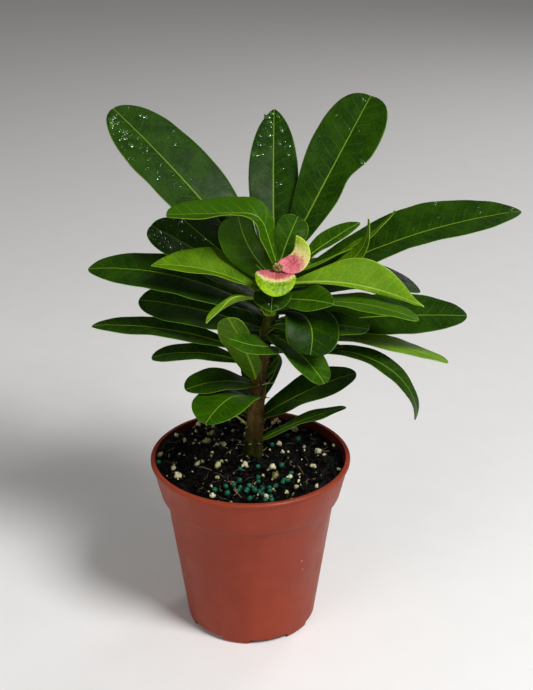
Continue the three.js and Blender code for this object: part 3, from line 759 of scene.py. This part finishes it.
def leaf_blade(name, leaf, materials, node):
    """A leaf from a flat grid: bent onto its surface, given a sunken rib, then its thickness."""
    surface = leaf_surface(leaf)
    seed = sum(map(ord, name))
    bm = bmesh.new()
    bmesh.ops.create_grid(bm, x_segments=LEAF_ROWS, y_segments=LEAF_COLUMNS, size=1)
    blade = bm.loops.layers.uv.new("blade")
    span = bm.loops.layers.uv.new("span")
    thickness = {}
    places = {}
    for vert in bm.verts:
        along, u = (vert.co.x + 1) / 2, vert.co.y
        t = 1 - (1 - 0.995 * along) ** 1.3
        places[vert] = t, math.copysign(abs(u) ** 1.25, u)
    for face in bm.faces:
        for loop in face.loops:
            t, u = places[loop.vert]
            loop[blade].uv = t, (u + 1) / 2
            loop[span].uv = t * leaf["length"] / 10 + seed % 7, half_width(leaf, t, u) * u / 10
    for vert, (t, u) in places.items():
        point, normal = surface(t, u)
        half = half_width(leaf, t, u)
        out = t * leaf["length"]
        groove = RIB_GROOVE * math.exp(-((half * u / (1.1 - 0.7 * t)) ** 2)) * min(1, t * 8) * (1 - t)
        quilt = QUILTING * noise.noise(Vector((out * 0.11, half * u * 0.16, seed)))
        frill = FRILL * noise.noise(Vector((out * 0.09, u * 3, seed + 5))) * abs(u) ** 3
        vert.co = point + normal * ((quilt + frill) * min(1, t * 5) - groove)
        foot = max(0, 1 - t / STALK_SHARE)
        middle = RIB_THICKNESS + (STALK_THICKNESS - RIB_THICKNESS) * foot
        edge = MARGIN_THICKNESS + (STALK_THICKNESS * 0.7 - MARGIN_THICKNESS) * foot
        thickness[vert.index] = (middle + (edge - middle) * abs(u) ** 0.7) / STALK_THICKNESS
    piece = finished_piece(name, bm, materials, [node])
    group = piece.vertex_groups.new(name="thickness")
    for index, weight in thickness.items():
        group.add([index], weight, "REPLACE")
    tint = piece.data.attributes.new("tint", "FLOAT", "POINT")
    tint.data.foreach_set("value", [leaf["tint"]] * len(piece.data.vertices))
    shell = piece.modifiers.new("thickness", "SOLIDIFY")
    shell.thickness = STALK_THICKNESS / 1000
    shell.offset = 0
    shell.vertex_group = "thickness"
    shell.material_offset = 1
    shell.material_offset_rim = 2
    smooth = piece.modifiers.new("rounded margin", "SUBSURF")
    smooth.levels = smooth.render_levels = 1
    return piece


# Markings of a leaf, as masks: the pale rib, side veins that curve to the tip, the thin light
# margin, soft mottling between the veins, and the height of all of them.
leaf_marks, given, results = new_group(
    "leaf markings",
    {"Blade": "Vector", "Span": "Vector"},
    {"Rib": "Float", "Veins": "Float", "Margin": "Float", "Mottle": "Float", "Height": "Float"},
)
tree = leaf_marks
blade = add_node(tree, "SeparateXYZ", {0: given["Blade"]}).outputs
span = add_node(tree, "SeparateXYZ", {0: given["Span"]}).outputs
away = maths(tree, "ABSOLUTE", span["Y"])
rib_width = maths(tree, "SUBTRACT", 0.085, maths(tree, "MULTIPLY", blade["X"], 0.06))
rib = eased(tree, maths(tree, "DIVIDE", away, rib_width), 1.0, 0.45)
wander = cloud(tree, given["Span"], 1.6, 3)
slant = maths(tree, "ADD", maths(tree, "MULTIPLY", away, 0.62), maths(tree, "MULTIPLY", wander, 0.32))
offset = maths(tree, "MULTIPLY", maths(tree, "GREATER_THAN", span["Y"], 0.0), 0.31)
leaning = maths(tree, "SUBTRACT", span["X"], slant)
order = maths(tree, "DIVIDE", maths(tree, "ADD", leaning, offset), 0.62)
between_veins = maths(tree, "ABSOLUTE", maths(tree, "SUBTRACT", maths(tree, "FRACT", order), 0.5))
fading = eased(tree, away, 1.6, 0.2)
side_veins = maths(tree, "MULTIPLY", eased(tree, between_veins, 0.07, 0.015), fading)
cells = {"Vector": given["Span"], "Scale": 4.2}
net = add_node(tree, "TexVoronoi", cells, feature="DISTANCE_TO_EDGE").outputs[0]
fine_veins = maths(tree, "MULTIPLY", eased(tree, net, 0.07, 0.01), 0.3)
veins = maths(tree, "MAXIMUM", side_veins, fine_veins)
edge = maths(tree, "ABSOLUTE", maths(tree, "SUBTRACT", maths(tree, "MULTIPLY", blade["Y"], 2.0), 1.0))
mottle = maths(tree, "ADD", maths(tree, "MULTIPLY", cloud(tree, given["Span"], 0.9, 4), 0.6),
               maths(tree, "MULTIPLY", cloud(tree, given["Span"], 7.0, 3), 0.4))
tree.links.new(rib, results["Rib"])
tree.links.new(veins, results["Veins"])
tree.links.new(eased(tree, edge, 0.955, 0.99), results["Margin"])
tree.links.new(eased(tree, mottle, 0.38, 0.62), results["Mottle"])
sunken = maths(tree, "ADD", maths(tree, "MULTIPLY", veins, 0.35), maths(tree, "MULTIPLY", rib, 0.4))
relief = maths(tree, "SUBTRACT", maths(tree, "MULTIPLY", mottle, 0.5), sunken)
tree.links.new(relief, results["Height"])


def leaf_skin(name, dark, light, vein, rib, roughness, bump, **values):
    """Waxy leaf skin: two greens mottled, with paler veins, rib and margin."""
    material, tree, shader = new_material(name, **values)
    blade = add_node(tree, "UVMap", uv_map="blade").outputs[0]
    span = add_node(tree, "UVMap", uv_map="span").outputs[0]
    marks = use_group(tree, leaf_marks, {"Blade": blade, "Span": span})
    tint = add_node(tree, "Attribute", attribute_name="tint").outputs["Fac"]
    share = maths(tree, "ADD", maths(tree, "MULTIPLY", marks["Mottle"], 0.4), tint)
    colour = mixed(tree, share, paint(dark), paint(light))
    colour = mixed(tree, maths(tree, "MULTIPLY", marks["Veins"], 0.3), colour, paint(vein))
    colour = mixed(tree, maths(tree, "MULTIPLY", marks["Rib"], 0.8), colour, paint(rib))
    colour = mixed(tree, maths(tree, "MULTIPLY", marks["Margin"], 0.35), colour, paint(vein))
    tree.links.new(colour, shader["Base Color"])
    worn = cloud(tree, span, 2.2, 4)
    tree.links.new(eased(tree, worn, 0.3, 0.7, roughness - 0.08, roughness + 0.12), shader["Roughness"])
    tree.links.new(bumped(tree, marks["Height"], bump, 0.0006), shader["Normal"])
    if "Coat_Roughness" in values:
        wet = eased(tree, cloud(tree, span, 0.55, 5, 0.65), 0.56, 0.66)
        tree.links.new(maths(tree, "MULTIPLY", wet, 0.25), shader["Coat Weight"])
    return material


LEAF_SKINS = {}
for tone, (dark, light, vein, rib, under_dark, under_light) in {
    "mature": ("#122c00", "#305400", "#426804", "#749620", "#3a5408", "#5a7a14"),
    "middle": ("#1e4000", "#3e6600", "#568008", "#7ea22c", "#446408", "#668a18"),
    "young": ("#2c5200", "#648800", "#709a0c", "#8cb42c", "#466a08", "#6c921a"),
    "pale": ("#5e880c", "#8cac26", "#98b838", "#aac850", "#6c9018", "#94b43c"),
}.items():
    LEAF_SKINS[tone] = [
        leaf_skin(tone + " leaf", dark, light, vein, rib, 0.42, 0.3, Coat_Roughness=0.06,
                  Specular_IOR_Level=0.11),
        leaf_skin(tone + " leaf underside", under_dark, under_light, rib, rib, 0.6, 0.5,
                  Specular_IOR_Level=0.2),
        leaf_skin(tone + " leaf margin", light, vein, rib, rib, 0.45, 0.1, Specular_IOR_Level=0.2),
    ]
for name, row in LEAVES.items():
    leaf = PLAIN_LEAF | row
    leaf_blade("leaf_" + name + "_blade", leaf, LEAF_SKINS[leaf["tone"]], "leaf_" + name)


# Water left by watering: small drops on the upper side of the dark leaves, most toward the tips. They
# glint, and otherwise show the green under them.
DROPS = dict(back_left=60, left_wet=44, back_middle=40, front_cup=10, back_right=8, far_right=8)
DROPS_FROM = 0.42
DROPS_REACH = 0.55
SMALLEST_DROP = 0.35
DROP_RANGE = 1.0
DROP_HEIGHT = 0.3
dice = random.Random(3)
material, tree, shader = new_material("water", Roughness=0.05, Coat_Weight=1, Coat_Roughness=0.02)
under = two_tone(tree, own_place(tree), "#143a04", "#2a5a08", 90)
tree.links.new(under["Color"], shader["Base Color"])
bm = bmesh.new()
for name, count in DROPS.items():
    surface = leaf_surface(PLAIN_LEAF | LEAVES[name])
    for _ in range(count):
        t = DROPS_FROM + DROPS_REACH * dice.random() ** 0.4
        u = dice.choice([-1, 1, 1, 1]) * dice.uniform(0.1, 0.9)
        size = SMALLEST_DROP + DROP_RANGE * dice.random() ** 2.5
        point, normal = surface(t, u)
        stretch = Matrix.Diagonal((size * dice.uniform(1, 2.2), size, DROP_HEIGHT * size, 1))
        spin = Matrix.Rotation(dice.uniform(0, 6), 4, "Z")
        tilt = normal.to_track_quat("Z", "Y").to_matrix().to_4x4()
        seat = Matrix.Translation(point + normal * (0.5 - 0.2 * abs(u)))
        bmesh.ops.create_icosphere(bm, subdivisions=2, radius=1, matrix=seat @ tilt @ spin @ stretch)
finished_piece("water_drops", bm, [material])


# Flower head: a short olive cup on a stalk, ringed by glands, and two bracts. The bracts are the
# showy leaves of the flower: rosy at the cup, then cream, then yellow-green with fine speckles. Their
# rows are those of leaves, with the foot's offset from the cup, the shares of the length where the
# rosy part begins to fade, where it is all cream and where it is all green, and the two greens; the
# rear bract's greens are lighter, as painted light on its tip.
CUP_CENTRE = Vector((14.4, -8, 212.5))
CUP_PROFILE = [
    (0, -2), (1.5, -2), (2.1, -0.8), (2.6, 1.0), (2.6, 1.9), (2.2, 2.2), (1.6, 1.4), (0, 1.1),
]
CUP_TILT = 25
GLANDS = 5
GLAND_CIRCLE = 1.95
FLOWER_STALK_FOOT = 206
STIGMAS = 7
BRACTS = dict(
    front=dict(
        offset=(-1.2, -2.4, -1.2), turn=270, rise=8, droop=70, length=16.6, width=21.5, roll=-6,
        widest=0.5, blunt=0.5, lobe=0.45, reddening=(0.36, 0.5, 0.6), greens_and_painted_light=("#4c7000", "#8cb206"),
    ),
    rear=dict(
        offset=(0.6, 0.5, 2.2), turn=20, rise=-5, droop=-125, length=22, width=17, roll=40,
        widest=0.45, blunt=1, lobe=0.05, nick=(1, 0.55, 0.5, 0.7), reddening=(0.42, 0.6, 0.84),
        # Its greens are lighter than the front bract's: painted light on its tip.
        greens_and_painted_light=("#86a81c", "#c8e048"),
    ),
)
ROSY = ("#a83e4c", "#d67680")
CREAM = "#dccf88"
ROSY_UNDER = ("#a86a60", "#c89080")
CREAM_UNDER = "#d0d090"
GREENS_UNDER = ("#7c9a20", "#a0bc40")


def bract_skin(name, rosy, cream, green, zones, roughness):
    """Bract colour in zones along the blade, with ragged borders and dark specks."""
    material, tree, shader = new_material(name, Specular_IOR_Level=0.2)
    blade = add_node(tree, "UVMap", uv_map="blade").outputs[0]
    span = add_node(tree, "UVMap", uv_map="span").outputs[0]
    marks = use_group(tree, leaf_marks, {"Blade": blade, "Span": span})
    out, across, _ = add_node(tree, "SeparateXYZ", {0: blade}).outputs
    aside = maths(tree, "ABSOLUTE", maths(tree, "SUBTRACT", across, 0.5))
    rim = maths(tree, "POWER", maths(tree, "MULTIPLY", aside, 2), 5)
    outward = maths(tree, "ADD", out, maths(tree, "MULTIPLY", rim, 0.2))
    grit = maths(tree, "SUBTRACT", cloud(tree, span, 9, 5, 0.7), 0.5)
    ragged = maths(tree, "ADD", outward, maths(tree, "MULTIPLY", grit, 0.55))
    colour = mixed(tree, marks["Mottle"], paint(rosy[0]), paint(rosy[1]))
    colour = mixed(tree, eased(tree, ragged, zones[0], zones[1]), colour, paint(cream))
    greens_and_painted_light = mixed(tree, marks["Mottle"], paint(green[0]), paint(green[1]))
    colour = mixed(tree, eased(tree, ragged, zones[1], zones[2]), colour, greens_and_painted_light)
    cells = add_node(tree, "TexVoronoi", {"Vector": span, "Scale": 14}).outputs["Distance"]
    specks = eased(tree, cells, 0.3, 0.1)
    colour = mixed(tree, maths(tree, "MULTIPLY", specks, 0.5), colour, paint("#566e08"))
    tree.links.new(colour, shader["Base Color"])
    uneven = eased(tree, marks["Mottle"], 0.0, 1.0, roughness, roughness + 0.15)
    tree.links.new(uneven, shader["Roughness"])
    tree.links.new(bumped(tree, marks["Height"], 0.4, 0.0005), shader["Normal"])
    return material


for name, row in BRACTS.items():
    leaf = PLAIN_LEAF | dict(fold=0, wave=0) | row
    zones = leaf["reddening"]
    skin = bract_skin(name + " bract", ROSY, CREAM, leaf["greens_and_painted_light"], zones, 0.4)
    under = bract_skin(name + " bract underside", ROSY_UNDER, CREAM_UNDER, GREENS_UNDER, zones, 0.55)
    leaf["foot"] = CUP_CENTRE + Vector(leaf["offset"])
    leaf_blade("bract_" + name + "_blade", leaf, [skin, under, skin], "bract_" + name)

# The cup is one fleshy body on a bent stalk from the shoot tip, with five glands round its rim.
material, tree, shader = new_material("flower cup", Roughness=0.45, Coat_Weight=0.2)
place = own_place(tree)
olive = two_tone(tree, place, "#3c2c08", "#8c8030", 700)
tree.links.new(olive["Color"], shader["Base Color"])
tree.links.new(bumped(tree, olive["Height"], 0.3, 0.0003), shader["Normal"])
bm = turned_body(CUP_PROFILE, 40)
for i in range(GLANDS):
    turn = math.tau * i / GLANDS + 0.2
    gland = bmesh.ops.create_icosphere(bm, subdivisions=3, radius=1)["verts"]
    bmesh.ops.scale(bm, vec=(0.75, 1.1, 0.6), verts=gland)
    bmesh.ops.rotate(bm, cent=(0, 0, 0), matrix=Matrix.Rotation(turn, 3, "Z"), verts=gland)
    place = GLAND_CIRCLE * math.cos(turn), GLAND_CIRCLE * math.sin(turn), 2.1
    bmesh.ops.translate(bm, vec=place, verts=gland)
tilt = Matrix.Rotation(math.radians(CUP_TILT), 3, "X")
bmesh.ops.rotate(bm, cent=(0, 0, 0), matrix=tilt, verts=bm.verts)
bmesh.ops.translate(bm, vec=CUP_CENTRE, verts=bm.verts)
foot = stem_axis(FLOWER_STALK_FOOT)
middle = Vector((foot.x, (foot.y + CUP_CENTRE.y) / 2 - 2, (foot.z + CUP_CENTRE.z) / 2 - 1))
bend = []
for i in range(7):
    share = 0.15 * i
    bend.append(foot.lerp(middle, share).lerp(middle.lerp(CUP_CENTRE, share), share))
add_strand(bm, bend, [1.3, 1.25, 1.2, 1.2, 1.25, 1.3, 1.5], 16)
bmesh.ops.recalc_face_normals(bm, faces=bm.faces)
finished_piece("flower_head", bm, [material], ["flower_cup"])

# Stigmas: fine threads with a round head, that stand up out of the cup.
material, tree, shader = new_material("stigma", Roughness=0.4)
place = own_place(tree)
white = two_tone(tree, place, "#7a5a20", "#d8cc80", 900)
tree.links.new(white["Color"], shader["Base Color"])
tree.links.new(bumped(tree, white["Height"], 0.2, 0.0002), shader["Normal"])
bm = bmesh.new()
for i in range(STIGMAS):
    turn = 2.4 * i
    tip = CUP_CENTRE + Vector((1.3 * math.cos(turn), 1.3 * math.sin(turn) - 0.7, 3.1 + 0.35 * (i % 3)))
    path = [CUP_CENTRE + Vector((0, 0, 1)), CUP_CENTRE.lerp(tip, 0.6), tip]
    add_strand(bm, path, [0.18, 0.16, 0.14], 6)
    ball = bmesh.ops.create_icosphere(bm, subdivisions=2, radius=0.36)["verts"]
    bmesh.ops.translate(bm, vec=tip, verts=ball)
bmesh.ops.recalc_face_normals(bm, faces=bm.faces)
finished_piece("flower_stigmas", bm, [material])


# Floor, lights and camera: a plain pale floor, one large soft light high on the right, a wide fill
# from the left and a weak one high behind on the right, and the camera a little above the plant. The
# camera looks down by its pitch and is turned a little to the right, both in degrees.
FLOOR_REACH = 6
CAMERA_PLACE = (0, -0.632, 0.447)
CAMERA_PITCH = 23.9
CAMERA_TURN = 0.8
CAMERA_LENS = 67.83
bm = bmesh.new()
bmesh.ops.create_grid(bm, x_segments=1, y_segments=1, size=FLOOR_REACH)
mesh = bpy.data.meshes.new("floor")
bm.to_mesh(mesh)
bm.free()
material, tree, shader = new_material("pale floor", Roughness=0.6)
place = own_place(tree)
cast = mixed(tree, cloud(tree, place, 40, 2), paint("#efeeed"), paint("#f4f3f2"))
tree.links.new(cast, shader["Base Color"])
mesh.materials.append(material)
floor = bpy.data.objects.new("floor", mesh)
bpy.context.collection.objects.link(floor)


def soft_light(name, place, aim, size, power):
    """A round lamp that shines from its place at what it is aimed at."""
    lamp = bpy.data.lights.new(name, "AREA")
    lamp.shape = "DISK"
    lamp.size = size
    lamp.energy = power
    piece = bpy.data.objects.new(name, lamp)
    piece.location = place
    piece.rotation_euler = (Vector(aim) - Vector(place)).to_track_quat("-Z", "Y").to_euler()
    bpy.context.collection.objects.link(piece)


soft_light("key", (0.7, -0.7, 1.25), (0, 0, 0.15), 0.55, 23)
soft_light("fill", (-1.0, -1.1, 0.75), (0, 0, 0.15), 1.0, 6)
soft_light("back", (0.9, 1.2, 1.0), (0, 0, 0.2), 0.6, 4)
world = bpy.data.worlds.new("room")
world.use_nodes = True
world.node_tree.nodes["Background"].inputs["Color"].default_value = (0.84, 0.83, 0.8, 1)
world.node_tree.nodes["Background"].inputs["Strength"].default_value = 0.16
bpy.context.scene.world = world
bpy.context.scene.view_settings.view_transform = "Standard"

lens = bpy.data.cameras.new("camera")
lens.lens = CAMERA_LENS
lens.sensor_width = 36
camera = bpy.data.objects.new("camera", lens)
camera.location = CAMERA_PLACE
camera.rotation_euler = (math.radians(90 - CAMERA_PITCH), 0, math.radians(-CAMERA_TURN))
bpy.context.collection.objects.link(camera)
bpy.context.scene.camera = camera
